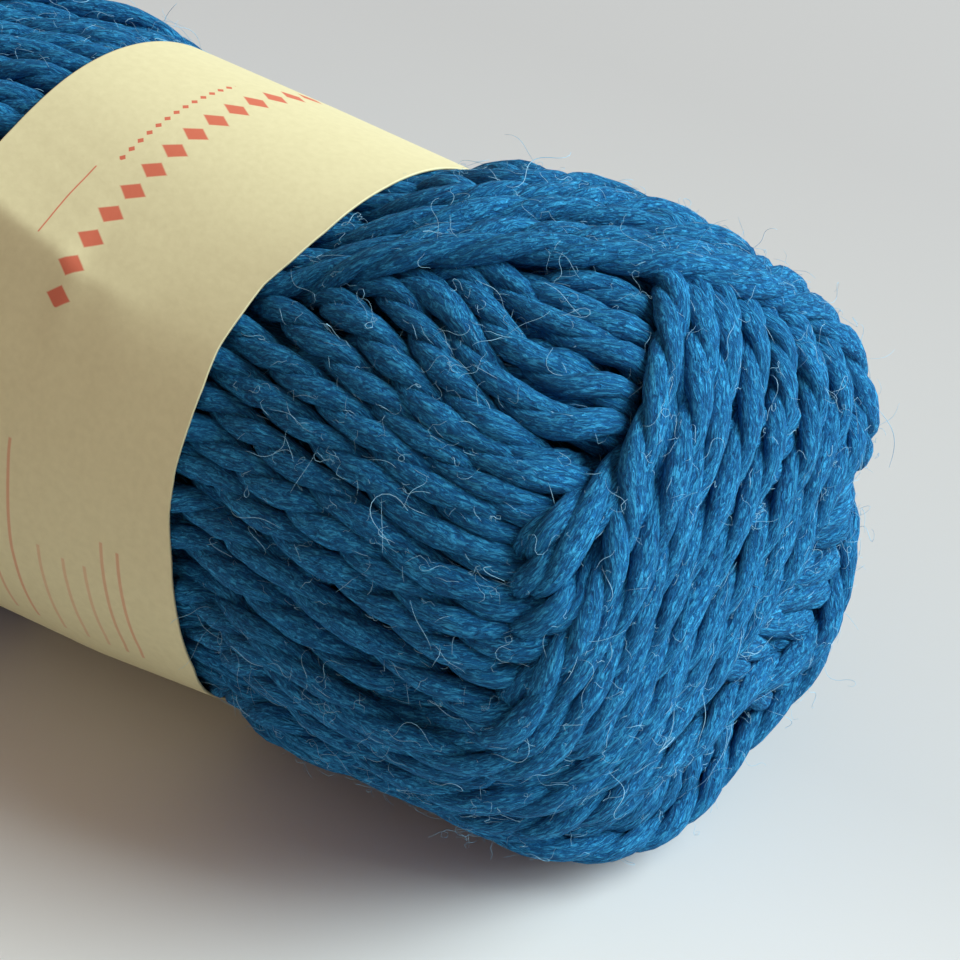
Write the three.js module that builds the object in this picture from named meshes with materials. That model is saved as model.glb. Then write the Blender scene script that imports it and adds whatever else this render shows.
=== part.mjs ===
// A ball of chunky two-ply wool, machine-wound and lying on its side, with a paper band round its
// middle. Millimetres, +Z up. The ball's axis runs along X at AXIS_HEIGHT above the surface that it
// rests on, and the origin is on that surface, under the middle of the ball.
import * as THREE from 'three';

// Sizes of the whole
const BAND_WIDTH = 47;             // along the axis
const BAND_RADIUS = 40.6;          // outside of the paper
const PAPER = 1.0;                 // thickness of the band's solid
const BAND_CLEARANCE = 0.4;        // between the paper and the yarn under it
const END_RADIUS = 41;             // yarn just past the band, before the raised groups
const END_LENGTH = 58.2;           // from the band's edge to the end face, before the raised groups
const SHOULDER = { along: 6.4, across: 3.6 };   // exponents of the rounded shoulder
const SWELL = 7;                   // length over which the yarn swells out from under the band
const AXIS_HEIGHT = 41;            // a little less than the radius, so the bottom is a flat spot

// Grid of the faceted surfaces
const AROUND = 96;
const CAP_CELLS = AROUND / 4;      // cells along a side of the grid that is wrapped over an end
const CAP_REACH = 44;              // from the middle of the end face, over the shoulder, to the rings
const SIDE_ROWS = 10;
const UNDER_ROWS = 3;
const BAND_ROWS = 4;
const FIRST_ANGLE = -Math.PI / 4;  // where the grid's corner meets the rings
const NORMAL_STEP = 0.006;         // share of the profile over which its slope is taken

// The yarn is wound in groups of turns. A turn lies where a gently curved sheet cuts the wound form.
// Seen along the axis the sheet is a straight line: turn_deg is the direction of its normal, edge_mm
// its distance from the axis at the band, end_mm its distance at the end face. Each group runs from
// its first turn to its last and lies over the groups in the rows before it.
const GROUPS = [
  { name: 'under', turn_deg: [30, 104], edge_mm: [20, 12], end_mm: [3, -4], ridges: 6, height: 1.8 },
  { name: 'back', turn_deg: [112, 190], edge_mm: [10, 2], end_mm: [-14, -16], ridges: 6, height: 1.8 },
  { name: 'side', turn_deg: [-80, -104], edge_mm: [-10, 8], end_mm: [8, 26], ridges: 2, height: 2.0 },
  { name: 'low', turn_deg: [-44, -50], edge_mm: [-20, -22], end_mm: [-39, -31], ridges: 1, height: 2.0 },
  { name: 'over', turn_deg: [-51, -72], edge_mm: [-30, -15], end_mm: [-28, 4], ridges: 5, height: 3.0 },
  { name: 'top', turn_deg: [44, 12], edge_mm: [11, -4], end_mm: [46, 50], ridges: 2, height: 3.0 },
];
const STRAIGHT_FROM = 0.62;        // part of the end's length at which a turn has stopped leaning
const GROUP_EDGE = 3;              // width over which a group's side falls away
const RIDGE_SHARE = 0.55;          // part of a group's height that its ridges make
const MOST_RAISE = 4.2;            // height that crossing groups press down to, however many they are

// Lengthwise folds in the paper: where they lie round the band and how far they stand out
const FOLDS = [
  { angle_deg: 132, out: 0.7, width_deg: 16 },
  { angle_deg: 205, out: 0.5, width_deg: 22 },
  { angle_deg: 318, out: 0.6, width_deg: 18 },
];

const rad = THREE.MathUtils.degToRad;
const { smoothstep, lerp, clamp } = THREE.MathUtils;

// Radius of the paper's outside at an angle round the axis
function bandRadius(angle) {
  let radius = BAND_RADIUS;
  for (const fold of FOLDS) {
    const turn = angle - rad(fold.angle_deg);
    const away = Math.abs(Math.atan2(Math.sin(turn), Math.cos(turn)));
    radius += fold.out * (1 - clamp(away / rad(fold.width_deg), 0, 1));
  }
  return radius;
}

// How far a turn's sheet is from the axis at a distance past the band
function sheetOffset(edge, end, past) {
  const lean = 1 - clamp(past / (END_LENGTH * STRAIGHT_FROM), 0, 1);
  return end + (edge - end) * lean * lean;
}

// Height that the groups add at a point, given past the band, across and up from the axis
function groupHeight(past, across, up) {
  let height = 0;
  for (const row of GROUPS) {
    const side = [0, 1].map((k) => {
      const turn = rad(row.turn_deg[k]);
      const sheet = sheetOffset(row.edge_mm[k], row.end_mm[k], past);
      return across * Math.cos(turn) + up * Math.sin(turn) - sheet;
    });
    if (side[0] * side[1] >= 0) continue;
    const share = side[0] / (side[0] - side[1]);
    const inset = Math.min(Math.abs(side[0]), Math.abs(side[1]));
    const ridge = Math.abs(Math.sin(Math.PI * row.ridges * share));
    height += row.height * smoothstep(inset, 0, GROUP_EDGE) * (1 - RIDGE_SHARE * (1 - ridge));
  }
  return MOST_RAISE * (1 - Math.exp(-height / MOST_RAISE)) * smoothstep(past, 0, SWELL * 1.5);
}

// Half profile of the wound form, from the middle of the band to the end: x along the axis, y radius
function halfProfile() {
  const steps = 600;
  const half = BAND_WIDTH / 2;
  const waist = BAND_RADIUS - PAPER - BAND_CLEARANCE;
  const points = [new THREE.Vector2(0, waist)];
  for (let i = 0; i <= steps; i += 1) {
    const turn = (i / steps) * (Math.PI / 2);
    const past = END_LENGTH * Math.sin(turn) ** (2 / SHOULDER.along);
    const full = END_RADIUS * Math.cos(turn) ** (2 / SHOULDER.across);
    const radius = lerp(Math.min(waist, full), full, smoothstep(past, 0, SWELL));
    points.push(new THREE.Vector2(half + past, radius));
  }
  return new THREE.Path(points);
}

// One vertex of the ball, at a share of the half profile's length, an angle round the axis and an
// end of the ball: sign is 1 at the +X end. The other end is the first one turned about the middle.
function ballPoint(share, angle, sign) {
  const here = profile.getPointAt(share);
  const before = profile.getPointAt(Math.max(share - NORMAL_STEP, 0));
  const after = profile.getPointAt(Math.min(share + NORMAL_STEP, 1));
  const normal = share === 1
    ? new THREE.Vector2(1, 0)
    : new THREE.Vector2(before.y - after.y, after.x - before.x).normalize();
  const past = Math.max(here.x - BAND_WIDTH / 2, 0);
  const across = Math.cos(angle) * here.y;
  const up = Math.sin(angle) * here.y;
  const fold = (bandRadius(angle) - BAND_RADIUS) * (1 - smoothstep(past, 0, SWELL));
  const raise = groupHeight(past, sign * across, sign * up);
  const radius = here.y + fold + raise * normal.y;
  const x = sign * (here.x + raise * normal.x);
  const z = Math.max(Math.sin(angle) * radius, -AXIS_HEIGHT);
  return new THREE.Vector3(x, Math.cos(angle) * radius, z);
}

// Angle and share of the cap's size at a node of the square grid that is wrapped over an end
function capPlace(i, j) {
  const a = (2 * i) / CAP_CELLS - 1;
  const b = (2 * j) / CAP_CELLS - 1;
  if (a === 0 && b === 0) return { angle: 0, share: 0 };
  const angle = Math.abs(a) > Math.abs(b)
    ? (Math.PI / 4) * (b / a) + (a < 0 ? Math.PI : 0)
    : Math.PI / 2 - (Math.PI / 4) * (a / b) + (b < 0 ? Math.PI : 0);
  return { angle, share: Math.max(Math.abs(a), Math.abs(b)) };
}

// The square grid's rim, one node for each side vertex, starting at the first side angle
function capRim() {
  const rim = [];
  for (let k = 0; k < CAP_CELLS; k += 1) rim.push([CAP_CELLS, k]);
  for (let k = CAP_CELLS; k > 0; k -= 1) rim.push([k, CAP_CELLS]);
  for (let k = CAP_CELLS; k > 0; k -= 1) rim.push([0, k]);
  for (let k = 0; k < CAP_CELLS; k += 1) rim.push([k, 0]);
  return rim;
}

function toGeometry(vertices, index) {
  const geometry = new THREE.BufferGeometry();
  const positions = vertices.flatMap((v) => [v.x, v.y, v.z]);
  geometry.setAttribute('position', new THREE.Float32BufferAttribute(positions, 3));
  geometry.setIndex(index);
  geometry.computeVertexNormals();
  return geometry;
}

const profile = halfProfile();
const angles = Array.from({ length: AROUND }, (_, k) => FIRST_ANGLE + (k / AROUND) * 2 * Math.PI);

// The wound yarn: one solid, waisted under the band, with its groups of turns as raised ridges.
// Rings of vertices run between the two ends, and a square grid is wrapped over each end.
function woundYarn() {
  const edge = (BAND_WIDTH / 2) / profile.getLength();
  const rim = 1 - CAP_REACH / profile.getLength();
  const shares = [
    ...Array.from({ length: UNDER_ROWS }, (_, i) => lerp(0, edge, i / UNDER_ROWS)),
    ...Array.from({ length: SIDE_ROWS + 1 }, (_, i) => lerp(edge, rim, i / SIDE_ROWS)),
  ];
  const farRings = shares.slice(1).reverse().map((share) => [share, -1]);
  const places = [...farRings, ...shares.map((share) => [share, 1])];
  const ring = ([share, sign]) => angles.map((angle) => ballPoint(share, angle, sign));
  const vertices = places.flatMap(ring);
  const index = [];
  const at = (row, k) => row * AROUND + (k % AROUND);
  for (let row = 0; row < places.length - 1; row += 1) {
    for (let k = 0; k < AROUND; k += 1) {
      index.push(at(row, k), at(row, k + 1), at(row + 1, k));
      index.push(at(row, k + 1), at(row + 1, k + 1), at(row + 1, k));
    }
  }
  for (const sign of [-1, 1]) {
    const firstRimVertex = sign > 0 ? (places.length - 1) * AROUND : 0;
    const grid = new Map(capRim().map(([i, j], k) => [`${i},${j}`, firstRimVertex + k]));
    for (let i = 1; i < CAP_CELLS; i += 1) {
      for (let j = 1; j < CAP_CELLS; j += 1) {
        const { angle, share } = capPlace(i, j);
        grid.set(`${i},${j}`, vertices.length);
        vertices.push(ballPoint(1 - share * (1 - rim), angle, sign));
      }
    }
    for (let i = 0; i < CAP_CELLS; i += 1) {
      for (let j = 0; j < CAP_CELLS; j += 1) {
        const nodes = [[i, j], [i + 1, j], [i + 1, j + 1], [i, j + 1]];
        const corners = nodes.map((node) => grid.get(node.join()));
        // Each cell is split along the way out from the middle, so that no triangle is a sliver
        const outward = (2 * i + 1 - CAP_CELLS) * (2 * j + 1 - CAP_CELLS) > 0;
        const [a, b, c, d] = outward ? corners : [...corners.slice(1), corners[0]];
        if (sign > 0) index.push(a, b, c, a, c, d);
        else index.push(a, c, b, a, d, c);
      }
    }
  }
  const yarn = new THREE.MeshStandardMaterial({ color: 0x216a9e, roughness: 0.95, metalness: 0 });
  const mesh = new THREE.Mesh(toGeometry(vertices, index), yarn);
  mesh.name = 'ball';
  return mesh;
}

// The paper band: a closed thin ring that follows its lengthwise folds
function paperBand() {
  const vertices = [];
  const rows = BAND_ROWS + 1;
  for (const inset of [0, PAPER]) {
    for (let row = 0; row < rows; row += 1) {
      const x = BAND_WIDTH * (row / BAND_ROWS - 0.5);
      for (const angle of angles) {
        const radius = bandRadius(angle) - inset;
        vertices.push(new THREE.Vector3(x, Math.cos(angle) * radius, Math.sin(angle) * radius));
      }
    }
  }
  const at = (skin, row, k) => (skin * rows + row) * AROUND + (k % AROUND);
  const index = [];
  const quad = (a, b, c, d) => index.push(a, b, c, a, c, d);
  for (let k = 0; k < AROUND; k += 1) {
    for (let row = 0; row < BAND_ROWS; row += 1) {
      quad(at(0, row, k), at(0, row, k + 1), at(0, row + 1, k + 1), at(0, row + 1, k));
      quad(at(1, row, k), at(1, row + 1, k), at(1, row + 1, k + 1), at(1, row, k + 1));
    }
    quad(at(0, 0, k), at(1, 0, k), at(1, 0, k + 1), at(0, 0, k + 1));
    quad(at(0, BAND_ROWS, k), at(0, BAND_ROWS, k + 1), at(1, BAND_ROWS, k + 1), at(1, BAND_ROWS, k));
  }
  const paper = new THREE.MeshStandardMaterial({ color: 0xe9e4bb, roughness: 0.7, metalness: 0 });
  const mesh = new THREE.Mesh(toGeometry(vertices, index), paper);
  mesh.name = 'band';
  return mesh;
}

const yarnBall = new THREE.Group();
yarnBall.add(woundYarn(), paperBand());
yarnBall.position.z = AXIS_HEIGHT;

export default yarnBall;
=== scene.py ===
"""Looks of a ball of chunky two-ply wool that lies on its side with a paper band round its middle.

Lengths are in millimetres until a mesh is made, and angles are in degrees in the tables. The ball's axis
runs along X. A turn of yarn is a closed loop round the ball, made of two plies twisted round each other.
It is laid on the wound form or on the turns laid before it.
"""
import math
import bpy
import numpy as np
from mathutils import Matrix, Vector
from mathutils.kdtree import KDTree


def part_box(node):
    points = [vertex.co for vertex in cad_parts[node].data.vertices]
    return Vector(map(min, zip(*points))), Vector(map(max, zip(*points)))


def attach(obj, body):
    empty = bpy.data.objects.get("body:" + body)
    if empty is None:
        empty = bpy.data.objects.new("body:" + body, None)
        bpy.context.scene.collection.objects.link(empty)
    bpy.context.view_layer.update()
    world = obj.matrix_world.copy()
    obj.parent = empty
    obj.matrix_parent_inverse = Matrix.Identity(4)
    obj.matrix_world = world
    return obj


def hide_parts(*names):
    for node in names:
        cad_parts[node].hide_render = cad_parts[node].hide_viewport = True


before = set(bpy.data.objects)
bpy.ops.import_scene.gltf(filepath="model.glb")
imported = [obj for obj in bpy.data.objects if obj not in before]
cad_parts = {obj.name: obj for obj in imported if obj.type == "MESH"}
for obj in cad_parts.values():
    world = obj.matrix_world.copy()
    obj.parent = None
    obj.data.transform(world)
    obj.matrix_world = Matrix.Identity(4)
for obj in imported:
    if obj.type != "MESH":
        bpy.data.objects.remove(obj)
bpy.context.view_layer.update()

MM = 0.001
random = np.random.default_rng(7)

# ---------------------------------------------------------------- sizes from the frame
band_low, band_high = (np.array(corner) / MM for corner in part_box("band"))
ball_high = np.array(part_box("ball")[1]) / MM
BAND_HALF = band_high[0]
BAND_RADIUS = (band_high[1] - band_low[1]) / 2
AXIS_Z = (band_high[2] + band_low[2]) / 2
BALL_HALF = ball_high[0]

# ---------------------------------------------------------------- yarn and form
STRAND = 4.3                      # across the two plies
PLY_OFF = 0.86                    # from the strand's middle to a ply's middle
PLY_OUT = STRAND / 2 - PLY_OFF    # half a ply's size away from the strand's middle
PLY_SIDE = 1.70                   # half a ply's size the other way
PITCH = 22.0                      # length of one full turn of the plies
WIDER = 1.10                      # how much a strand is flattened along the ball's surface
PITCH_SHARES = (0.78, 1.12)       # how much shorter or longer it is from turn to turn
TWIST_SPREAD = 0.45               # radians by which the twist runs ahead or behind
TWIST_WAVES = (2, 3, 5, 8)        # waves of that round a turn of yarn
THICK_WAVES = ((0.08, 7), (0.07, 17))   # share by which a ply gets thicker and thinner, waves of that
THICK_SPREAD = 0.03               # the same from turn to turn
FIBRE_TURN = 24.0                 # length in which a ply's own fibres go once round it
FIBRE_ROUND = 1.3                 # radius at which a ply reads the pattern of its fibres
FIBRE_STARTS = 500                # range of the places in the pattern where plies start
FIBRE_SLIDE = 0.37                # share of the start that shifts the pattern's last direction
ANY_PHASE = (0, 6.28)             # radians
PRESSED = 0.64                    # two crossing strands press down to this share of their thickness

FORM_RADIUS = 39.0                # middle of the outer turns, on the sides
FORM_LENGTH = BALL_HALF - BAND_HALF - 4.8   # the same, from the band's edge to the end face
FORM_ALONG = 6.4                  # exponents of the form's rounded shoulder
FORM_ACROSS = 3.6
WAIST = BAND_RADIUS - 2.9         # middle of the turns pressed under the paper
LIFT_OVER = 14.0                  # length over which a group rises past the paper
DEEPEST = 9.0                     # most that a buried turn dips under the form
SWELL = 6.0                       # length over which the yarn swells out past the paper
LUMPS = (                         # where slack turns bulge: place on the form, how far out, reach
    (72, 29, 17, 1.7, 9),
    (75, 30, 2, 1.7, 9),
    (77, 27, -8, 2.2, 5),
    (77, 22, -17, 2.8, 5),
    (77, 15, -23, 2.6, 6),
    (75, -2, -30, 1.6, 7),
    (72, -14, -31, 2.2, 9),
    (52, 24, 31, 0.6, 10),
    (27, -34, -21, 0.8, 4.5),
    (27, -29, -28, 2.2, 4.5),
    (21, -29, -27, 1.0, 3.5),
    (27, -21, -34, 1.8, 5),
    (52, -30, -28, -2.2, 12),
    (34, 27, 29, 1.2, 6),
)
END_MIDDLE = np.array([BAND_HALF + 15, 0, 0])   # where the planes of the turns meet the axis
TAPER = 0.035                     # share by which the paper narrows toward its +X edge
TAPER_FADES = 9.0                 # length past the paper over which the yarn follows it
CORE_UNDER = 4.4                  # how far the inner yarn lies under the form
CORE_SHORT = 7.0                  # the same at the end faces
CORE_RIDGE = 1.3                  # how deep the grooves between the inner turns are
CORE_GROOVES = 34                 # number of them round the ball
CORE_SLANT = 0.25                 # how fast they turn round the axis, in radians to a millimetre
CORE_OFF_FLOOR = 3.0
CORE_TIP = 0.5                    # thinner rings of it are left out
OFF_FLOOR = 0.05                  # lowest place of any piece
BORNE = 0.1                       # how much a turn is flattened where the floor bears it
UNDER_PAPER = 6.0                 # how far a turn's end wrap runs on under the paper
HIDDEN = 4.0                      # past this far under the paper the yarn needs little detail

# Turns, seen from the middle of the +X end. The turns of a group run near one plane through that middle.
# turn is the direction of the plane's normal round the axis, and slope is how much the plane leans along
# the axis. A row gives how many degrees a turn runs out of that plane at each of STOPS, which are degrees
# round the plane from the axis. Turns between two rows share them out. lift is how far the group's turns
# stand out of the form. swing, if given, is how far the plane turns between the first turn and the last.
STOPS = (-115, -90, -65, -45, -30, -15, 0, 15, 27, 38, 49, 62, 76, 92, 115)
GROUPS = [
    {"name": "ground", "lift": -1.9, "turns": 44, "turn": 90, "slope": 0, "swing": 180, "rows": [
        (-14, -14, -14, -14, -14, -14, -14, -14, -14, -14, -14, -14, -14, -14, -14),
        (14, 14, 14, 14, 14, 14, 14, 14, 14, 14, 14, 14, 14, 14, 14)]},
    {"name": "wound", "lift": -0.6, "turns": 22, "turn": 150, "slope": 0, "swing": 130, "rows": [
        (5, 2, -2, -6, -9, -13, -16, -13, -10, -7, -4, -2, 0, 2, 5)]},
    {"name": "left", "lift": 1, "turns": 15, "turn": 62, "slope": 0, "rows": [
        (27, 41, 52, 50, 44, 33, 28, 33, 45, 49, 51, 55, 49, 39, 27),
        (32, 44, 50, 43, 36, 27, 24, 27, 35, 41, 44, 53, 53, 43, 32),
        (38, 46, 45, 36, 30, 22, 19, 22, 29, 35, 36, 46, 56, 46, 37),
        (41, 45, 38, 28, 23, 17, 15, 17, 24, 30, 26, 35, 49, 47, 41),
        (42, 41, 30, 21, 17, 12, 11, 12, 16, 22, 19, 26, 39, 46, 42),
        (38, 33, 22, 16, 12, 8, 7, 8, 10, 18, 16, 19, 28, 36, 39),
        (30, 24, 16, 11, 8, 5, 4, 5, 7, 12, 10, 14, 20, 26, 30),
        (22, 17, 9, 6, 4, 2, 1, 2, 4, 8, 6, 8, 14, 18, 21),
        (14, 9, 3, 1, 1, -1, -1, -1, 1, 3, 0, 1, 6, 10, 14),
        (6, 2, -3, -5, -4, -4, -4, -4, -4, -4, -7, -4, 0, 3, 6),
        (-1, -5, -9, -12, -10, -7, -6, -7, -9, -11, -13, -10, -7, -5, -1),
        (-9, -13, -17, -19, -16, -11, -9, -11, -14, -19, -20, -17, -15, -12, -8),
        (-17, -22, -25, -27, -22, -15, -12, -14, -20, -29, -29, -26, -25, -22, -17)]},
    {"name": "across", "lift": 3.2, "turns": 11, "turn": -56, "slope": 0, "rows": [
        (-50, -50, -50, -50, -43, -47, -41, -37, -37, -34, -34, -35, -48, -50, -50),
        (-50, -50, -50, -49, -40, -43, -43, -37, -37, -34, -34, -35, -48, -50, -50),
        (-50, -50, -50, -41, -36, -37, -37, -37, -37, -35, -34, -35, -48, -50, -50),
        (-39, -45, -35, -23, -31, -35, -41, -41, -40, -38, -35, -35, -48, -50, -50),
        (-31, -37, -25, -21, -27, -31, -36, -36, -36, -34, -31, -26, -39, -50, -50),
        (-30, -36, -24, -19, -23, -27, -31, -31, -31, -29, -29, -25, -37, -50, -50),
        (-30, -36, -25, -16, -19, -22, -25, -24, -25, -24, -26, -22, -29, -48, -38),
        (-27, -32, -20, -12, -16, -17, -17, -16, -16, -18, -24, -17, -16, -44, -20),
        (-17, -26, -10, -10, -12, -11, -7, -6, -5, -10, -23, -17, -16, -44, -20),
        (-17, -26, -10, -8, -8, -4, 0, 2, 0, 4, -14, -16, -18, -36, -20),
        (-17, -26, -11, -7, -4, 3, 7, 10, 6, 17, -5, -14, -21, -28, -20)]},
    {"name": "beside", "lift": 2.6, "turns": 6, "turn": -80, "slope": 0.3, "rows": [
        (36, 39, 40, 39, 40, 42, 41, 37, 28, 32, 37, 40, 40, 38, 36),
        (31, 34, 35, 34, 35, 37, 36, 32, 23, 27, 32, 35, 35, 33, 31),
        (26, 29, 30, 29, 30, 32, 31, 27, 18, 22, 27, 30, 30, 28, 26),
        (21, 24, 25, 24, 25, 27, 26, 22, 13, 17, 22, 25, 25, 23, 21),
        (16, 19, 20, 19, 20, 22, 21, 17, 8, 12, 17, 20, 20, 18, 16),
        (40, 16, 20, 10, 1, 5, 5, 12, 8, 0, 7, 14, 17, 22, 36)]},
    {"name": "top", "lift": 2.8, "turns": 4, "turn": 30, "slope": 0.6, "rows": [
        (50, 54, 48, 43, 39, 33, 30, 32, 39, 48, 44, 40, 57, 54, 50),
        (44, 39, 35, 33, 30, 27, 26, 28, 33, 33, 33, 34, 32, 36, 44),
        (31, 27, 25, 23, 21, 21, 21, 20, 18, 22, 26, 27, 25, 25, 31),
        (22, 19, 18, 15, 14, 15, 17, 18, 14, 14, 16, 19, 19, 19, 23)]},
    {"name": "over", "lift": 4.3, "turns": 1, "turn": 30, "slope": 0.6, "rows": [
        (16, 13, 11, 9, 7, 7, 13, 12, 9, 9, 9, 12, 13, 14, 17)]},
]
# The order in which the turns of the groups were laid, as the first letter of each group's name
LAID = "g" * 44 + "w" * 22 + "lllllllllalalallallaaaaa" + "bbbbbb" + "aa" + "tttt" + "o"
FINE = {"step": 1.5, "sides": 8}
COARSE = {"step": 2.6, "sides": 5}
RAY_SPREAD = 150                  # an end wrap is found on rays this many degrees to each side
RAYS = 601
RAY_BLUR = 8                      # rays over which the bends of a row are softened
OUTSIDE = 95.0                    # a distance from the end's middle that lies outside the form
HALVINGS = 30                     # steps in which a ray's way out of the form is found
ROUTE_STEP = 1.0
ROUTE_BLUR = 1.8                  # lengths over which a turn's route and its dips are softened
DIP_BLUR = 1.3
LAST_BLUR = 1.0
JOIN_POINTS = 26                  # from one end wrap to the next under the paper
WANDERS = 4                       # waves in a wrap's sideways wander
WANDER_NEAR = 0.4                 # degrees of it at the +X end and at the other
WANDER_FAR = 0.6
FAR_TURNED = 1.0                  # degrees by which the two ends of a turn lie differently
NO_TURN_OVER = 99.0               # the room over a place that no turn covers


def smooth01(t):
    t = np.clip(t, 0, 1)
    return t * t * (3 - 2 * t)


def form_radius(x):
    """Radius of the wound form at a place along the axis."""
    past = np.maximum(np.abs(x) - BAND_HALF, 0)
    inside = np.clip(1 - (past / FORM_LENGTH) ** FORM_ALONG, 0, 1)
    full = FORM_RADIUS * inside ** (1 / FORM_ACROSS)
    return np.minimum(full, WAIST + (full - WAIST) * smooth01(past / SWELL))


def form_normal(points):
    past = np.maximum(np.abs(points[:, 0]) - BAND_HALF, 0)
    around = np.hypot(points[:, 1], points[:, 2])
    along = FORM_ALONG / FORM_LENGTH * (past / FORM_LENGTH) ** (FORM_ALONG - 1)
    out = FORM_ACROSS / FORM_RADIUS * (around / FORM_RADIUS) ** (FORM_ACROSS - 1)
    normal = np.stack([np.sign(points[:, 0]) * along, out * points[:, 1] / (around + 1e-6),
                       out * points[:, 2] / (around + 1e-6)], axis=1)
    return normal / np.linalg.norm(normal, axis=1, keepdims=True)


def slack(points):
    """How far slack turns bulge out of the form at the +X end."""
    out = np.zeros(len(points))
    for x, y, z, size, reach in LUMPS:
        out += size * np.exp(-0.5 * ((points - np.array([x, y, z])) ** 2).sum(axis=1) / reach ** 2)
    return out


def blurred(values, reach):
    """Values on a closed loop, each averaged with its neighbours over about reach samples."""
    half = max(int(3 * reach), 1)
    weights = np.exp(-0.5 * (np.arange(-half, half + 1) / reach) ** 2)
    weights /= weights.sum()
    wrapped = np.concatenate([values[-half:], values, values[:half]])
    if values.ndim == 1:
        return np.convolve(wrapped, weights, mode="valid")
    columns = [np.convolve(wrapped[:, c], weights, mode="valid") for c in range(values.shape[1])]
    return np.stack(columns, axis=1)


def softened(values, reach):
    """Values on an open run, each averaged with its neighbours over about reach samples."""
    weights = np.exp(-0.5 * (np.arange(-3 * reach, 3 * reach + 1) / reach) ** 2)
    padded = np.pad(values, 3 * reach, mode="edge")
    return np.convolve(padded, weights / weights.sum(), mode="valid")


def resampled(points, step):
    """A closed loop's points at equal steps along it."""
    closed = np.vstack([points, points[:1]])
    run = np.concatenate([[0], np.cumsum(np.linalg.norm(np.diff(closed, axis=0), axis=1))])
    count = int(round(run[-1] / step))
    at = np.linspace(0, run[-1], count, endpoint=False)
    return np.stack([np.interp(at, run, closed[:, c]) for c in range(3)], axis=1)


def end_wrap(turn, slope, row, wander):
    """One pass of a turn over the +X end, from under the paper to under the paper."""
    normal = np.array([-slope, math.cos(math.radians(turn)), math.sin(math.radians(turn))])
    normal /= np.linalg.norm(normal)
    ahead = np.array([1, 0, 0]) - normal[0] * normal
    ahead /= np.linalg.norm(ahead)
    aside = np.cross(ahead, normal)
    rays = np.linspace(-RAY_SPREAD, RAY_SPREAD, RAYS)
    angle = np.radians(softened(np.interp(rays, STOPS, row), RAY_BLUR) + wander(np.radians(rays)))
    rays = np.radians(rays)
    toward = (np.outer(np.cos(angle) * np.cos(rays), ahead) + np.outer(np.cos(angle) * np.sin(rays), aside)
              + np.outer(np.sin(angle), normal))
    near = np.zeros(len(rays))
    far = np.full(len(rays), OUTSIDE)
    for _ in range(HALVINGS):
        half = (near + far) / 2
        point = END_MIDDLE + toward * half[:, None]
        inside = np.hypot(point[:, 1], point[:, 2]) < form_radius(point[:, 0])
        near = np.where(inside, half, near)
        far = np.where(inside, far, half)
    point = END_MIDDLE + toward * near[:, None]
    return point[point[:, 0] > BAND_HALF - UNDER_PAPER]


def joined_under_paper(start, stop):
    """Points that run on under the paper from one end wrap to the next."""
    a, b = (math.atan2(p[2], p[1]) for p in (start, stop))
    swing = (b - a + math.pi) % (2 * math.pi) - math.pi
    t = np.linspace(0, 1, JOIN_POINTS)[1:-1]
    angle = a + swing * smooth01(t)
    x = start[0] + (stop[0] - start[0]) * t
    return np.stack([x, WAIST * np.cos(angle), WAIST * np.sin(angle)], axis=1)


def waver(strength):
    """A gentle sideways wander along a wrap."""
    sizes = random.normal(0, strength, WANDERS)
    starts = random.uniform(0, 2 * math.pi, WANDERS)
    return lambda t: sum(sizes[i] / (1 + 0.5 * i) * np.sin((i + 1.3) * t + starts[i])
                         for i in range(WANDERS))


def turn_route(group, k):
    """The closed route of one turn on the bare form, with the ball's middle at the origin."""
    rows = np.array(group["rows"], dtype=float)
    at = k / max(group["turns"] - 1, 1) * (len(rows) - 1)
    row = [np.interp(at, range(len(rows)), rows[:, c]) for c in range(len(STOPS))]
    swing = group.get("swing", 0) * (k / max(group["turns"] - 1, 1) - 0.5)
    turn = group["turn"] + swing
    near = end_wrap(turn, group["slope"], row, waver(WANDER_NEAR))
    far = -end_wrap(turn + random.normal(0, FAR_TURNED), group["slope"], row, waver(WANDER_FAR))
    if np.dot(far[0, 1:], near[-1, 1:]) < np.dot(far[-1, 1:], near[-1, 1:]):
        far = far[::-1]
    there = joined_under_paper(near[-1], far[0])
    back = joined_under_paper(far[-1], near[0])
    route = np.vstack([near, there, far, back])
    # The loop starts under the paper, where no seam shows
    return np.roll(route, -(len(near) + len(there) // 2), axis=0)


class Winding:
    """The turns placed so far, from the last one laid to the first, as the points along their middles.

    The last turns lie on the ball's outer form. Each earlier turn dips under the ones laid over it.
    """

    def __init__(self):
        self.points = np.zeros((0, 3), dtype=np.float32)

    def place(self, route, step, lift):
        base = resampled(blurred(resampled(route, ROUTE_STEP), ROUTE_BLUR / ROUTE_STEP), step)
        normal = form_normal(base)
        past = np.abs(base[:, 0]) - BAND_HALF
        height = lift * smooth01(past / LIFT_OVER) + slack(base)
        height = np.minimum(height, self._room(base, normal))
        for _ in range(2):
            height = np.minimum(height, blurred(height, DIP_BLUR / step))
        height = np.maximum(blurred(height, LAST_BLUR / step), -DEEPEST)
        middle = base + normal * height[:, None]
        middle[:, 2] = np.maximum(middle[:, 2], STRAND / 2 - BORNE - AXIS_Z)
        every = 2 if step < COARSE["step"] else 1
        self.points = np.vstack([self.points, middle[::every].astype(np.float32)])
        return middle

    def _room(self, base, normal):
        """Height over the form at which a turn just touches the turns laid over it."""
        if not len(self.points):
            return np.full(len(base), NO_TURN_OVER)
        gap = STRAND * PRESSED
        base = base.astype(np.float32)
        normal = normal.astype(np.float32)
        over = normal @ self.points.T - (base * normal).sum(1)[:, None]
        apart = ((self.points ** 2).sum(1)[None, :] - 2 * base @ self.points.T
                 + (base ** 2).sum(1)[:, None] - over ** 2)
        near = (apart < gap * gap) & (over > -2 * DEEPEST)
        room = np.where(near, over - np.sqrt(np.maximum(gap * gap - apart, 0)), NO_TURN_OVER)
        return room.min(axis=1)


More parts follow.
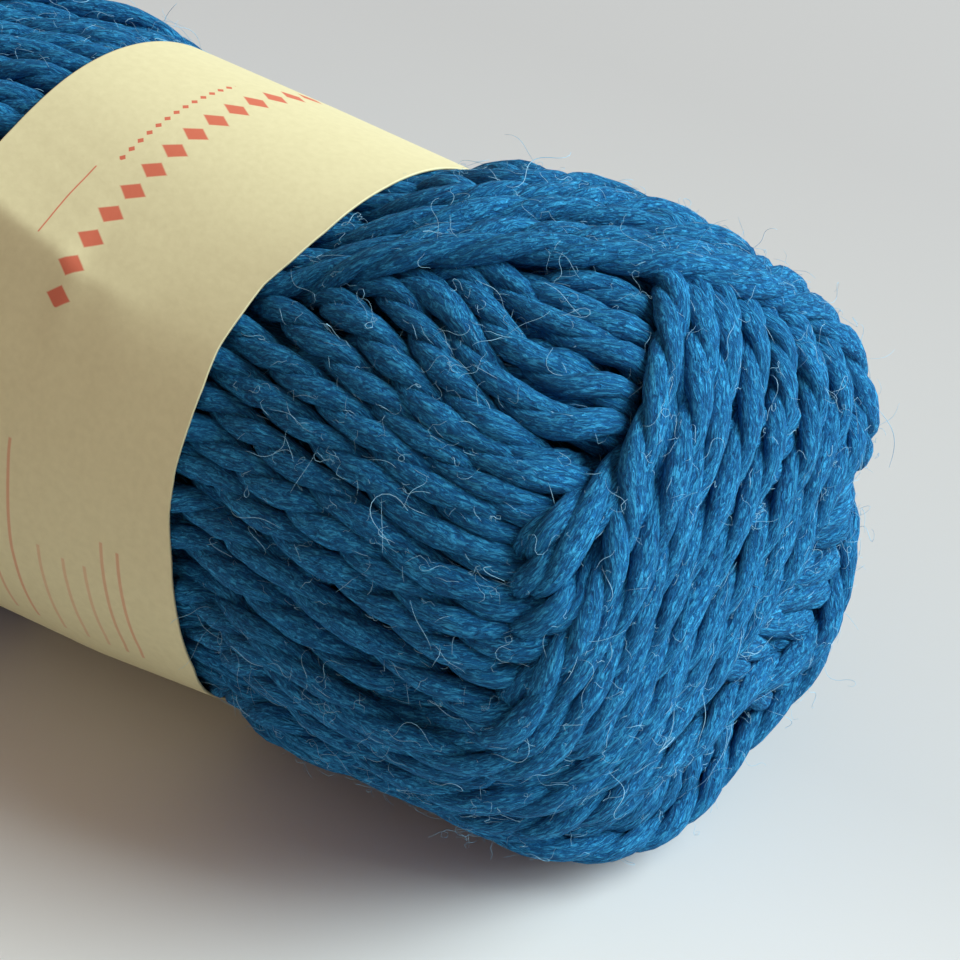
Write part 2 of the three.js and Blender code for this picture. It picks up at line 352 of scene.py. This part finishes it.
def ply_surfaces(middle, sides, size):
    """Vertices, quads and fibre coordinates of the two plies that twist round a closed middle line."""
    count = len(middle)
    ahead = np.roll(middle, -1, axis=0) - np.roll(middle, 1, axis=0)
    ahead /= np.linalg.norm(ahead, axis=1, keepdims=True)
    out = form_normal(middle)
    out -= ahead * (out * ahead).sum(1)[:, None]
    out /= np.linalg.norm(out, axis=1, keepdims=True)
    across = np.cross(ahead, out)
    gaps = np.linalg.norm(np.roll(middle, -1, axis=0) - middle, axis=1)
    run = np.concatenate([[0], np.cumsum(gaps)[:-1]])
    length = gaps.sum()
    whole_turns = round(length / (PITCH * random.uniform(*PITCH_SHARES)))
    uneven = sum(random.normal(0, TWIST_SPREAD)
                 * np.sin(2 * math.pi * waves * run / length + random.uniform(*ANY_PHASE))
                 for waves in TWIST_WAVES)
    phase = random.uniform(0, 2 * math.pi)
    beta = np.linspace(0, 2 * math.pi, sides, endpoint=False)
    vertices, fibres, quads = [], [], []
    ring = np.arange(count)
    for ply in (0, 1):
        twist = phase + ply * math.pi - 2 * math.pi * whole_turns * run / length + uneven
        fat = 1
        for share, waves in THICK_WAVES:
            fat = fat + share * np.sin(2 * math.pi * waves * run / length + random.uniform(*ANY_PHASE))
        fat = size * fat
        away = np.cos(twist)[:, None] * out + np.sin(twist)[:, None] * across
        beside = -np.sin(twist)[:, None] * out + np.cos(twist)[:, None] * across
        centre = middle + away * (PLY_OFF * size)
        skin = (centre[:, None, :]
                + away[:, None, :] * (np.cos(beta) * PLY_OUT)[None, :, None] * fat[:, None, None]
                + beside[:, None, :] * (np.sin(beta) * PLY_SIDE)[None, :, None] * fat[:, None, None])
        sideways = ((skin - middle[:, None, :]) * across[:, None, :]).sum(axis=2, keepdims=True)
        skin += (WIDER - 1) * sideways * across[:, None, :]
        vertices.append(skin.reshape(-1, 3))
        turned = beta[None, :] - (2 * math.pi * run / FIBRE_TURN)[:, None]
        start = random.uniform(0, FIBRE_STARTS)
        fibre = np.stack([np.repeat(run[:, None] + start, sides, 1), np.cos(turned) * FIBRE_ROUND + start,
                          np.sin(turned) * FIBRE_ROUND + start * FIBRE_SLIDE], axis=2)
        fibres.append(fibre.reshape(-1, 3))
        here = ply * count * sides
        a = here + ring[:, None] * sides + np.arange(sides)[None, :]
        b = here + ring[:, None] * sides + (np.arange(sides)[None, :] + 1) % sides
        c = here + ((ring[:, None] + 1) % count) * sides + (np.arange(sides)[None, :] + 1) % sides
        d = here + ((ring[:, None] + 1) % count) * sides + np.arange(sides)[None, :]
        quads.append(np.stack([a, b, c, d], axis=2).reshape(-1, 4))
    return np.vstack(vertices), np.vstack(quads), np.vstack(fibres)


def pulled_in(vertices):
    """The paper and the yarn near it, a little slimmer at the +X edge and fuller at the other."""
    x = vertices[:, 0]
    share = x / BAND_HALF * np.exp(-0.5 * (np.maximum(np.abs(x) - BAND_HALF, 0) / TAPER_FADES) ** 2)
    share = np.where(x > 0, share, share * np.clip(vertices[:, 2] / BAND_RADIUS, 0, 1))
    shaped = vertices.copy()
    shaped[:, 1:] *= (1 - TAPER * share)[:, None]
    return shaped


def mesh_piece(name, vertices, faces, material, fibres=None):
    """A smooth mesh object from millimetres round the ball's middle."""
    mesh = bpy.data.meshes.new(name)
    size = faces.shape[1]
    mesh.vertices.add(len(vertices))
    placed = (pulled_in(vertices) + np.array([0, 0, AXIS_Z])) * MM
    placed[:, 2] = np.maximum(placed[:, 2], OFF_FLOOR * MM)
    mesh.vertices.foreach_set("co", placed.astype(np.float32).ravel())
    mesh.loops.add(faces.size)
    mesh.loops.foreach_set("vertex_index", faces.astype(np.int32).ravel())
    mesh.polygons.add(len(faces))
    mesh.polygons.foreach_set("loop_start", np.arange(0, faces.size, size, dtype=np.int32))
    mesh.polygons.foreach_set("loop_total", np.full(len(faces), size, dtype=np.int32))
    mesh.polygons.foreach_set("use_smooth", np.ones(len(faces), dtype=bool))
    if fibres is not None:
        layer = mesh.attributes.new("fibre", "FLOAT_VECTOR", "POINT")
        layer.data.foreach_set("vector", fibres.astype(np.float32).ravel())
    mesh.update(calc_edges=True)
    mesh.validate()
    mesh.materials.append(material)
    piece = bpy.data.objects.new(name, mesh)
    bpy.context.scene.collection.objects.link(piece)
    return piece


# ---------------------------------------------------------------- materials
YARN_DARK = (0.003, 0.058, 0.190)
YARN_MIDDLE = (0.008, 0.182, 0.485)
YARN_LIGHT = (0.056, 0.480, 0.900)


def new_material(name):
    material = bpy.data.materials.new(name)
    material.use_nodes = True
    tree = material.node_tree
    return material, tree, tree.nodes["Principled BSDF"]


def node(tree, kind, inputs=None, **settings):
    made = tree.nodes.new(kind)
    for key, value in settings.items():
        setattr(made, key, value)
    for key, value in (inputs or {}).items():
        made.inputs[key].default_value = value
    return made


def ramp(tree, source, stops):
    made = tree.nodes.new("ShaderNodeValToRGB")
    elements = made.color_ramp.elements
    while len(elements) < len(stops):
        elements.new(0.5)
    for element, (at, colour) in zip(elements, stops):
        element.position = at
        element.color = (*colour, 1)
    tree.links.new(source, made.inputs["Fac"])
    return made.outputs["Color"]


def yarn_material():
    material, tree, shader = new_material("yarn")
    link = tree.links.new
    place = node(tree, "ShaderNodeAttribute", attribute_name="fibre")
    along = node(tree, "ShaderNodeMapping", {"Scale": (0.22, 1.0, 1.0)})
    link(place.outputs["Vector"], along.inputs["Vector"])
    fine = node(tree, "ShaderNodeTexNoise",
                {"Scale": 3.2, "Detail": 4.0, "Roughness": 0.72, "Distortion": 0.9})
    link(along.outputs["Vector"], fine.inputs["Vector"])
    broad = node(tree, "ShaderNodeTexNoise", {"Scale": 0.12, "Detail": 2.0})
    link(place.outputs["Vector"], broad.inputs["Vector"])
    streaks = ramp(tree, fine.outputs["Fac"], [(0.34, YARN_DARK), (0.50, YARN_MIDDLE), (0.62, YARN_LIGHT)])
    patches = ramp(tree, broad.outputs["Fac"], [(0.3, (0.74, 0.78, 0.80)), (0.7, (1.0, 1.0, 1.0))])
    colour = node(tree, "ShaderNodeMix", data_type="RGBA", blend_type="MULTIPLY")
    colour.inputs[0].default_value = 1.0
    link(streaks, colour.inputs[6])
    link(patches, colour.inputs[7])
    link(colour.outputs[2], shader.inputs["Base Color"])
    bump = node(tree, "ShaderNodeBump", {"Strength": 1.0, "Distance": 0.0011})
    link(fine.outputs["Fac"], bump.inputs["Height"])
    link(bump.outputs["Normal"], shader.inputs["Normal"])
    shader.inputs["Roughness"].default_value = 0.8
    shader.inputs["Specular IOR Level"].default_value = 0.18
    shader.inputs["Sheen Weight"].default_value = 0.15
    shader.inputs["Sheen Roughness"].default_value = 0.4
    shader.inputs["Sheen Tint"].default_value = (0.08, 0.55, 1.0, 1)
    return material


def fibre_material():
    material, _, shader = new_material("loose fibre")
    shader.inputs["Base Color"].default_value = (0.30, 0.62, 0.84, 1)
    shader.inputs["Roughness"].default_value = 0.5
    shader.inputs["Specular IOR Level"].default_value = 0.5
    return material


# ---------------------------------------------------------------- the wound yarn
yarn = yarn_material()
winding = Winding()
pieces = []
laid = []
by_letter = {group["name"][0]: group for group in GROUPS}
left_over = {letter: group["turns"] for letter, group in by_letter.items()}
built = {letter: {"skin": [], "quads": [], "fibre": [], "count": 0} for letter in by_letter}
for letter in reversed(LAID):
    group = by_letter[letter]
    detail = COARSE if letter == "g" else FINE
    left_over[letter] -= 1
    middle = winding.place(turn_route(group, left_over[letter]), detail["step"], group["lift"])
    hidden = np.abs(middle[:, 0]) < BAND_HALF - HIDDEN
    kept = middle[~hidden | (np.arange(len(middle)) % 3 == 0)]
    skin, quads, fibre = ply_surfaces(kept, detail["sides"], 1 + random.normal(0, THICK_SPREAD))
    made = built[letter]
    made["skin"].append(skin)
    made["quads"].append(quads + made["count"])
    made["fibre"].append(fibre)
    made["count"] += len(skin)
    if letter != "g":
        laid.append((kept, skin.reshape(2, len(kept), detail["sides"], 3)))
for letter, made in built.items():
    skin, quads, fibre = (np.vstack(made[part]) for part in ("skin", "quads", "fibre"))
    pieces.append(mesh_piece(by_letter[letter]["name"] + "_turns", skin, quads, yarn, fibre))


def core_piece():
    """The inner yarn in one ridged skin, so that no light shows through between the turns."""
    half_rows, around = 42, 150
    share = np.sin(np.linspace(0, math.pi / 2, half_rows + 1)[1:]) ** (2 / FORM_ALONG)
    half = BAND_HALF + (FORM_LENGTH - CORE_SHORT) * share
    radius = np.maximum(form_radius(BAND_HALF + FORM_LENGTH * share) - CORE_UNDER, 0.0)
    x = np.concatenate([-half[::-1], [0], half])
    r = np.concatenate([radius[::-1], [WAIST - CORE_UNDER], radius])
    keep = r > CORE_TIP
    x, r = x[keep], r[keep]
    angle = np.linspace(0, 2 * math.pi, around, endpoint=False)
    skin = np.stack([np.repeat(x[:, None], around, 1), r[:, None] * np.cos(angle),
                     r[:, None] * np.sin(angle)], axis=2)
    groove = np.abs(np.sin(CORE_GROOVES / 2 * angle + CORE_SLANT * x[:, None]))
    skin *= (1 - CORE_RIDGE / FORM_RADIUS * groove)[:, :, None]
    vertices = np.vstack([skin.reshape(-1, 3), [[x[0], 0, 0]], [[x[-1], 0, 0]]])
    k = np.arange(around)
    n = (k + 1) % around
    faces = []
    for row in range(len(x) - 1):
        here, ahead = row * around, (row + 1) * around
        a, b, c, d = here + k, here + n, ahead + n, ahead + k
        faces += [np.stack([a, b, c], 1), np.stack([a, c, d], 1)]
    low, high = len(vertices) - 2, len(vertices) - 1
    faces.append(np.stack([np.full(around, low), n, k], 1))
    last = (len(x) - 1) * around
    faces.append(np.stack([np.full(around, high), last + k, last + n], 1))
    vertices[:, 2] = np.maximum(vertices[:, 2], CORE_OFF_FLOOR - AXIS_Z)
    return mesh_piece("core", vertices, np.vstack(faces), yarn, vertices)


OVER_AT, OVER_REACH = 0.95, 0.42  # in strands: where over a place another turn counts, and how near
FIBRE_CLEAR = 1.5                 # how far past the paper fibres start
FIBRE_OUTSIDE = 0.3               # how far out of a turn's middle they start
FIBRE_FACING = 0.1                # how much the yarn there faces out of the ball, at least
FIBRE_ROOT = 0.1                  # how deep in the yarn they start
FIBRE_LEAN = 70                   # degrees from the yarn's own direction, at most
FIBRE_TIP = 0.35                  # share of a fibre's thickness that is left at its ends
FIBRE_OFF_FLOOR = 0.3
FIBRE_PAST = 7.0                  # furthest that a fibre stands off the end of the ball
# name, number, knots, lengths, heights off the yarn, curl, thicknesses
FIBRES = (
    ("short_fibres", 9200, 5, (1.2, 4.0), (0.12, 0.6), 2.0, (0.040, 0.070)),
    ("curled_fibres", 2400, 14, (3.5, 9.5), (0.3, 1.5), 3.8, (0.045, 0.075)),
    ("long_fibres", 80, 20, (9.0, 22.0), (1.0, 2.6), 4.2, (0.08, 0.12)),
)


def buried(middles, normals, chosen):
    """True for the chosen places that have another turn right over them."""
    tree = KDTree(len(middles))
    for index, point in enumerate(middles):
        tree.insert(point, index)
    tree.balance()
    over = middles[chosen] + normals[chosen] * STRAND * OVER_AT
    return np.array([len(tree.find_range(point, STRAND * OVER_REACH)) > 0 for point in over])


def outer_places(count):
    """Random places on the outside of the outermost turns: place, outward direction, turn's direction."""
    middles = np.vstack([middle for middle, _ in laid])
    tangents = np.vstack([np.roll(middle, -1, axis=0) - np.roll(middle, 1, axis=0) for middle, _ in laid])
    tangents /= np.linalg.norm(tangents, axis=1, keepdims=True)
    normals = form_normal(middles)
    skins = np.concatenate([skin.transpose(1, 0, 2, 3) for _, skin in laid])
    usable = np.flatnonzero(np.abs(middles[:, 0]) > BAND_HALF + FIBRE_CLEAR)
    chosen = random.choice(usable, 3 * count)
    chosen = chosen[~buried(middles, normals, chosen)][:2 * count]
    ply = random.integers(0, 2, len(chosen))
    side = random.integers(0, skins.shape[2], len(chosen))
    place = skins[chosen, ply, side]
    out = place - skins[chosen, ply].mean(axis=1)
    out /= np.linalg.norm(out, axis=1, keepdims=True)
    outside = ((place - middles[chosen]) * normals[chosen]).sum(axis=1) > FIBRE_OUTSIDE
    facing = (out * normals[chosen]).sum(axis=1) > FIBRE_FACING
    good = np.flatnonzero(outside & facing)[:count]
    return place[good] - out[good] * FIBRE_ROOT, out[good], tangents[chosen][good]


ANY_DIRECTION = np.array([0.31, 0.53, 0.79])   # one that no fibre follows


def tube(path, thickness):
    """A closed three-sided tube along a path, thinning toward both ends."""
    count = len(path)
    ahead = np.gradient(path, axis=0)
    ahead /= np.linalg.norm(ahead, axis=1, keepdims=True)
    first = np.cross(ahead, ANY_DIRECTION)
    first /= np.linalg.norm(first, axis=1, keepdims=True)
    second = np.cross(ahead, first)
    swell = np.sin(np.linspace(0.15, math.pi - 0.15, count))
    size = thickness / 2 * (FIBRE_TIP + (1 - FIBRE_TIP) * swell)[:, None]
    turns = [0, 2 * math.pi / 3, 4 * math.pi / 3]
    ring = np.stack([path + size * (math.cos(t) * first + math.sin(t) * second) for t in turns], axis=1)
    faces = []
    for i in range(count - 1):
        for j in range(3):
            a, b = 3 * i + j, 3 * i + (j + 1) % 3
            faces += [(a, b, b + 3), (a, b + 3, a + 3)]
    last = 3 * (count - 1)
    faces += [(0, 2, 1), (last, last + 1, last + 2)]
    return ring.reshape(-1, 3), np.array(faces)


def fibre_path(start, tangent, normal, length, rise, lean, curl, knots):
    """A fibre that leaves the yarn at an angle, bows and comes down or stands off."""
    across = np.cross(normal, tangent)
    heading = math.radians(lean)
    t = np.linspace(0, 1, knots)
    turn = heading + curl * t + 0.5 * curl * np.sin(math.pi * 2 * t + random.uniform(*ANY_PHASE))
    step = length / (knots - 1)
    along = np.cumsum(np.cos(turn)) * step
    aside = np.cumsum(np.sin(turn)) * step
    up = rise * np.sin(math.pi * t * random.uniform(0.5, 1.0))
    return start + np.outer(along, tangent) + np.outer(aside, across) + np.outer(up, normal)


def fibre_piece(name, count, knots, lengths, rises, curl, thickness, material):
    """Loose fibres on the outermost turns, in one mesh."""
    points, faces, total = [], [], 0
    for start, out, tangent in zip(*outer_places(count)):
        path = fibre_path(start, tangent * random.choice((-1, 1)), out, random.uniform(*lengths),
                          random.uniform(*rises), random.uniform(-FIBRE_LEAN, FIBRE_LEAN),
                          random.normal(0, curl), knots)
        if (path[:, 2] < FIBRE_OFF_FLOOR - AXIS_Z).any() or np.abs(path[:, 0]).max() > BALL_HALF + FIBRE_PAST:
            continue
        ring, sides = tube(path, random.uniform(*thickness))
        points.append(ring)
        faces.append(sides + total)
        total += len(ring)
    return mesh_piece(name, np.vstack(points), np.vstack(faces), material)


fuzz = fibre_material()
pieces.append(core_piece())
for row in FIBRES:
    pieces.append(fibre_piece(*row, fuzz))
for piece in pieces:
    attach(piece, "root")
    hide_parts("ball")

# ---------------------------------------------------------------- the paper band
PAPER = 0.35                      # thickness
PAPER_OFF_FLOOR = 0.12
SEAM = -98.0                      # degrees, where the paper's outer end lies
OVERLAP = 14.0                    # degrees
COMES_UP = (-1.0, 9.0)            # degrees past the seam where the inner end comes up, over how many
RISES = (-12.0, 12.0)             # the same a whole turn on, where the outer end rises over it
GLUE = 0.12                       # room between the two ends
OUTER_END = 0.35                  # how far the outer end stands out of the round
SOFT_FROM, SOFT_OVER = -4, 18     # where along the axis the crease turns soft, and over what length
# The dent at the crease: depth, place along the axis and reach there, degrees past the crease and reach
DENT = (0.25, 1.5, 2.6, -1, 4.5)
RIPPLE = 0.08
BACK_BULGE = (0.5, 318, 11)       # how far the paper stands out at the back, at what angle, reach
PAPER_ROWS, PAPER_COLUMNS = 299, 30
RIM_ANGLE, RIM = 0.2, 0.12        # how near the edges the rows and columns that keep them sharp lie
CORAL = (0.60, 0.10, 0.055)
# Plain marks in place of the print. Places are along the axis, runs are in degrees round it
LOZENGES = (                      # place, from, to, spacing, half width, half length
    (-2.2, 55, 137, 6.0, 2.3, 2.3),
    (-7.2, 72, 106, 2.6, 0.55, 0.9),
)
SHORT_RULE = (-9.3, 109, 126, 0.18)    # place, from, to, half width
RULE_FADES = (0.15, 0.3)          # how softly a rule's sides and its ends fade
LOZENGE_CRISP = 6.0               # how fast the ink comes up inside a lozenge
LOZENGES_END = 0.2
INK = 0.9                         # strength of the ink where nothing says otherwise
RULES = (                         # place, from, strength of the ink
    (-4.0, 163, 0.55),
    (-8.0, 181, 0.45),
    (0.9, 183, 0.35),
    (5.0, 184, 0.35),
    (8.6, 184, 0.35),
    (11.8, 177, 0.45),
    (14.5, 178, 0.5),
)
RULES_TO = 208
RULE_HALF = 0.34
# The lengthwise crease: where it runs, in degrees round the axis, and how the paper stands out of or
# dips into the round on its way past the crease, sharply at the -X side and softly at the other
CREASE_X = (-23.5, -18.5, -12.3, -4.0, -1.0, 2.6, 11.5, 23.5)
CREASE_AT = (122.5, 124.0, 126.0, 128.0, 130.5, 130.0, 132.0, 133.0)
PAST_CREASE = (-30, -20, -14, -8, -4, 0, 4, 9, 15, 26, 42, 58, 76, 100)
SHARP = (0.0, -0.05, 0.1, 0.55, 1.05, 1.75, 1.1, 0.3, -0.3, -0.60, -0.45, 0.30, 0.45, 0.0)
SOFT = (0.0, 0.05, 0.15, 0.40, 0.60, 0.75, 0.70, 0.45, 0.0, -0.45, -0.45, 0.25, 0.45, 0.0)
# The wavy +X edge: degrees round the axis, and how far the edge runs out there
EDGE_AT = (0, 30, 60, 84, 102, 111, 118, 125, 132, 140, 157,
           166, 175, 190, 204, 212, 222, 234, 252, 280, 330)
EDGE_OUT = (0.3, 0.8, 1.2, 1.0, 0.3, -0.7, -2.0, -2.3, -2.8, -2.7, -3.6,
            -3.4, -2.6, -1.9, -2.0, -3.2, -5.0, -6.0, -5.8, -3.6, 0.0)


def paper_radius(angle, x):
    """Outer face of the paper; the angle runs on past a whole turn in the overlap."""
    past = (angle - np.interp(x, CREASE_X, CREASE_AT) + 180) % 360 - 180
    soft = smooth01((x - SOFT_FROM) / SOFT_OVER)
    radius = (BAND_RADIUS + (1 - soft) * np.interp(past, PAST_CREASE, SHARP)
              + soft * np.interp(past, PAST_CREASE, SOFT))
    depth, dent_x, reach_x, dent_past, reach_past = DENT
    dent = np.exp(-0.5 * ((x - dent_x) / reach_x) ** 2 - 0.5 * ((past - dent_past) / reach_past) ** 2)
    ripple = RIPPLE * np.sin(np.radians(3 * angle + 25)) * np.sin(x / 9 + 0.6)
    height, bulge_at, reach = BACK_BULGE
    bulge = height * np.exp(-0.5 * (((angle - bulge_at + 180) % 360 - 180) / reach) ** 2)
    return radius - depth * dent + ripple + bulge


def with_rims(values, rim):
    """The values with one more close to each end."""
    return np.concatenate([values[:1], [values[0] + rim], values[1:-1], [values[-1] - rim], values[-1:]])


def paper_piece():
    angle = with_rims(np.linspace(SEAM - OVERLAP, SEAM + 360, PAPER_ROWS), RIM_ANGLE)
    x = with_rims(np.linspace(-BAND_HALF, BAND_HALF, PAPER_COLUMNS), RIM)
    around, along = len(angle), len(x)
    grid_angle, grid_x = np.meshgrid(angle, x, indexing="ij")
    under = 1 - smooth01((grid_angle - SEAM - COMES_UP[0]) / COMES_UP[1])
    lifted = smooth01((grid_angle - SEAM - 360 - RISES[0]) / RISES[1])
    outer = paper_radius(grid_angle, grid_x) - under * (PAPER + GLUE) + lifted * OUTER_END
    skew = np.interp(grid_angle % 360, EDGE_AT, EDGE_OUT, period=360)
    placed_x = grid_x + skew * (0.5 + 0.5 * grid_x / BAND_HALF)
    skins = []
    for radius in (outer, outer - PAPER):
        skins.append(np.stack([placed_x, radius * np.cos(np.radians(grid_angle)),
                               radius * np.sin(np.radians(grid_angle))], axis=2).reshape(-1, 3))
    vertices = np.vstack(skins)
    vertices[:, 2] = np.maximum(vertices[:, 2], PAPER_OFF_FLOOR - AXIS_Z)
    i, j = np.meshgrid(np.arange(around - 1), np.arange(along - 1), indexing="ij")
    a = (i * along + j).ravel()
    quad = np.stack([a, a + along, a + along + 1, a + 1], axis=1)
    low = around * along
    rim = [(k, k + 1) for k in range(along - 1)]
    rim += [(k * along + along - 1, (k + 1) * along + along - 1) for k in range(around - 1)]
    rim += [((around - 1) * along + k + 1, (around - 1) * along + k) for k in reversed(range(along - 1))]
    rim += [((k + 1) * along, k * along) for k in reversed(range(around - 1))]
    side = np.array([(p, q, q + low, p + low) for p, q in rim])
    faces = np.vstack([quad, quad[:, ::-1] + low, side])
    piece = mesh_piece("paper_band", vertices, faces, paper_material())
    place = np.stack([grid_angle.ravel(), grid_x.ravel(), np.ones(grid_x.size)], axis=1)
    layer = piece.data.attributes.new("paper", "FLOAT_VECTOR", "POINT")
    inside = place * np.array([1, 1, 0])
    layer.data.foreach_set("vector", np.vstack([place, inside]).astype(np.float32).ravel())
    return piece


def maths(tree, operation, a, b=None, clamp=False):
    made = node(tree, "ShaderNodeMath", operation=operation, use_clamp=clamp)
    for socket, value in zip(made.inputs, (a, b)):
        if value is None:
            continue
        if isinstance(value, (int, float)):
            socket.default_value = value
        else:
            tree.links.new(value, socket)
    return made.outputs[0]


def paper_material():
    material, tree, shader = new_material("paper")
    link = tree.links.new
    place = node(tree, "ShaderNodeAttribute", attribute_name="paper")
    parts = node(tree, "ShaderNodeSeparateXYZ")
    link(place.outputs["Vector"], parts.inputs[0])
    angle, x, front = parts.outputs

    def within(value, middle, half, soft):
        """1 inside the half width of the middle, fading to 0 over soft."""
        away = maths(tree, "ABSOLUTE", maths(tree, "SUBTRACT", value, middle))
        return maths(tree, "DIVIDE", maths(tree, "SUBTRACT", half, away), soft, clamp=True)

    def rule(at_x, from_angle, to_angle, half):
        across = within(x, at_x, half, RULE_FADES[0])
        run = within(angle, (from_angle + to_angle) / 2, (to_angle - from_angle) / 2, RULE_FADES[1])
        return maths(tree, "MULTIPLY", across, run)

    def lozenges(at_x, from_angle, to_angle, spacing, half_x, half_angle):
        step = maths(tree, "SUBTRACT", maths(tree, "FRACT", maths(tree, "DIVIDE", angle, spacing)), 0.5)
        share = maths(tree, "DIVIDE", maths(tree, "ABSOLUTE", step), half_angle / spacing)
        away = maths(tree, "DIVIDE", maths(tree, "ABSOLUTE", maths(tree, "SUBTRACT", x, at_x)), half_x)
        inside = maths(tree, "SUBTRACT", 1.0, maths(tree, "ADD", share, away))
        shape = maths(tree, "MULTIPLY", inside, LOZENGE_CRISP, clamp=True)
        run = within(angle, (from_angle + to_angle) / 2, (to_angle - from_angle) / 2, LOZENGES_END)
        return maths(tree, "MULTIPLY", shape, run)

    marks = [lozenges(*row) for row in LOZENGES]
    marks.append(rule(*SHORT_RULE))
    for at_x, from_angle, strength in RULES:
        marks.append(maths(tree, "MULTIPLY", rule(at_x, from_angle, RULES_TO, RULE_HALF), strength))
    ink = marks[0]
    for mark in marks[1:]:
        ink = maths(tree, "MAXIMUM", ink, mark)
    ink = maths(tree, "MULTIPLY", maths(tree, "MULTIPLY", ink, front), INK)
    grain = node(tree, "ShaderNodeTexNoise", {"Scale": 900.0, "Detail": 3.0})
    spot = node(tree, "ShaderNodeTexCoord")
    link(spot.outputs["Object"], grain.inputs["Vector"])
    base = ramp(tree, grain.outputs["Fac"], [(0.3, (0.670, 0.625, 0.378)), (0.7, (0.710, 0.665, 0.408))])
    colour = node(tree, "ShaderNodeMix", data_type="RGBA")
    link(ink, colour.inputs[0])
    link(base, colour.inputs[6])
    colour.inputs[7].default_value = (*CORAL, 1)
    link(colour.outputs[2], shader.inputs["Base Color"])
    bump = node(tree, "ShaderNodeBump", {"Strength": 0.12, "Distance": 0.0002})
    link(grain.outputs["Fac"], bump.inputs["Height"])
    link(bump.outputs["Normal"], shader.inputs["Normal"])
    shader.inputs["Roughness"].default_value = 0.62
    shader.inputs["Specular IOR Level"].default_value = 0.35
    return material


paper = paper_piece()
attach(paper, "root")
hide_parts("band")

# ---------------------------------------------------------------- camera, floor and light
CAMERA_AZIMUTH, CAMERA_ELEVATION = 37.0, 36.0
CAMERA_DISTANCE = 520.0           # from the middle of the band's +X edge
LENS = 144.7875
AIM_RIGHT, AIM_DOWN = 15.1, 5.4   # the picture's middle, from the same point
azimuth, elevation = math.radians(CAMERA_AZIMUTH), math.radians(CAMERA_ELEVATION)
back = Vector((math.sin(azimuth) * math.cos(elevation), -math.cos(azimuth) * math.cos(elevation),
               math.sin(elevation)))
right = Vector((math.cos(azimuth), math.sin(azimuth), 0))
up = back.cross(right)
near_edge = Vector((BAND_HALF, 0, AXIS_Z))
eye = near_edge + back * CAMERA_DISTANCE
target = near_edge + right * AIM_RIGHT - up * AIM_DOWN
camera = bpy.data.objects.new("camera", bpy.data.cameras.new("camera"))
camera.data.sensor_width = 36.0
camera.data.lens = LENS
camera.data.clip_start = 0.01
camera.location = eye * MM
camera.rotation_euler = (target - eye).to_track_quat("-Z", "Y").to_euler()
bpy.context.scene.collection.objects.link(camera)
bpy.context.scene.camera = camera

# The floor's pale colour with painted light on it, darker toward the back and lighter toward the front as the
# light falls off across the view: place from its -Y side, colour
FLOOR_PAINTED_LIGHT = [(0.10, (0.51, 0.52, 0.53)), (0.45, (0.60, 0.625, 0.635)), (0.53, (0.69, 0.72, 0.73)),
                (0.68, (0.80, 0.835, 0.83))]
FLOOR_HALF = 3.0                  # metres
floor_mesh = bpy.data.meshes.new("floor")
floor_mesh.from_pydata([(-FLOOR_HALF, -FLOOR_HALF, 0), (FLOOR_HALF, -FLOOR_HALF, 0),
                        (FLOOR_HALF, FLOOR_HALF, 0), (-FLOOR_HALF, FLOOR_HALF, 0)], [], [(0, 1, 2, 3)])
floor = bpy.data.objects.new("floor", floor_mesh)
floor_material, floor_tree, floor_shader = new_material("floor")
floor_place = node(floor_tree, "ShaderNodeTexCoord")
floor_turn = node(floor_tree, "ShaderNodeMapping",
                  {"Rotation": (0, 0, math.radians(90)), "Scale": (2.5, 2.5, 2.5), "Location": (0.5, 0, 0)})
floor_tree.links.new(floor_place.outputs["Object"], floor_turn.inputs["Vector"])
# This gradient is painted light: it darkens the floor toward the back in place of the light's falloff
floor_painted_falloff = node(floor_tree, "ShaderNodeTexGradient")
floor_tree.links.new(floor_turn.outputs["Vector"], floor_painted_falloff.inputs["Vector"])
floor_colour_painted_lit = ramp(floor_tree, floor_painted_falloff.outputs["Fac"], FLOOR_PAINTED_LIGHT)
floor_tree.links.new(floor_colour_painted_lit, floor_shader.inputs["Base Color"])
floor_shader.inputs["Roughness"].default_value = 0.9
floor_mesh.materials.append(floor_material)
bpy.context.scene.collection.objects.link(floor)

WINDOW_AT = Vector((1.62, 0.99, 1.25))    # metres
WINDOW_AIM = Vector((0, 0, 0.03))
light = bpy.data.lights.new("window", "AREA")
light.shape = "SQUARE"
light.size = 1.8
light.energy = 98.0
light.color = (0.88, 0.99, 1.0)
window = bpy.data.objects.new("window", light)
window.location = WINDOW_AT
window.rotation_euler = (WINDOW_AIM - WINDOW_AT).to_track_quat("-Z", "Y").to_euler()
bpy.context.scene.collection.objects.link(window)

world = bpy.data.worlds.new("world")
world.use_nodes = True
world_tree = world.node_tree
sky = world_tree.nodes["Background"]
sky.inputs["Color"].default_value = (1.0, 0.69, 0.56, 1)
sky.inputs["Strength"].default_value = 0.34
backdrop = node(world_tree, "ShaderNodeBackground", {"Color": (0.56, 0.57, 0.565, 1), "Strength": 1.0})
rays = node(world_tree, "ShaderNodeLightPath")
seen = maths(world_tree, "ADD", rays.outputs["Is Camera Ray"], rays.outputs["Is Glossy Ray"])
seen = maths(world_tree, "ADD", seen, rays.outputs["Is Transmission Ray"], clamp=True)
either = node(world_tree, "ShaderNodeMixShader")
world_tree.links.new(seen, either.inputs[0])
world_tree.links.new(sky.outputs[0], either.inputs[1])
world_tree.links.new(backdrop.outputs[0], either.inputs[2])
world_tree.links.new(either.outputs[0], world_tree.nodes["World Output"].inputs["Surface"])
bpy.context.scene.world = world
bpy.context.scene.view_settings.view_transform = "Standard"
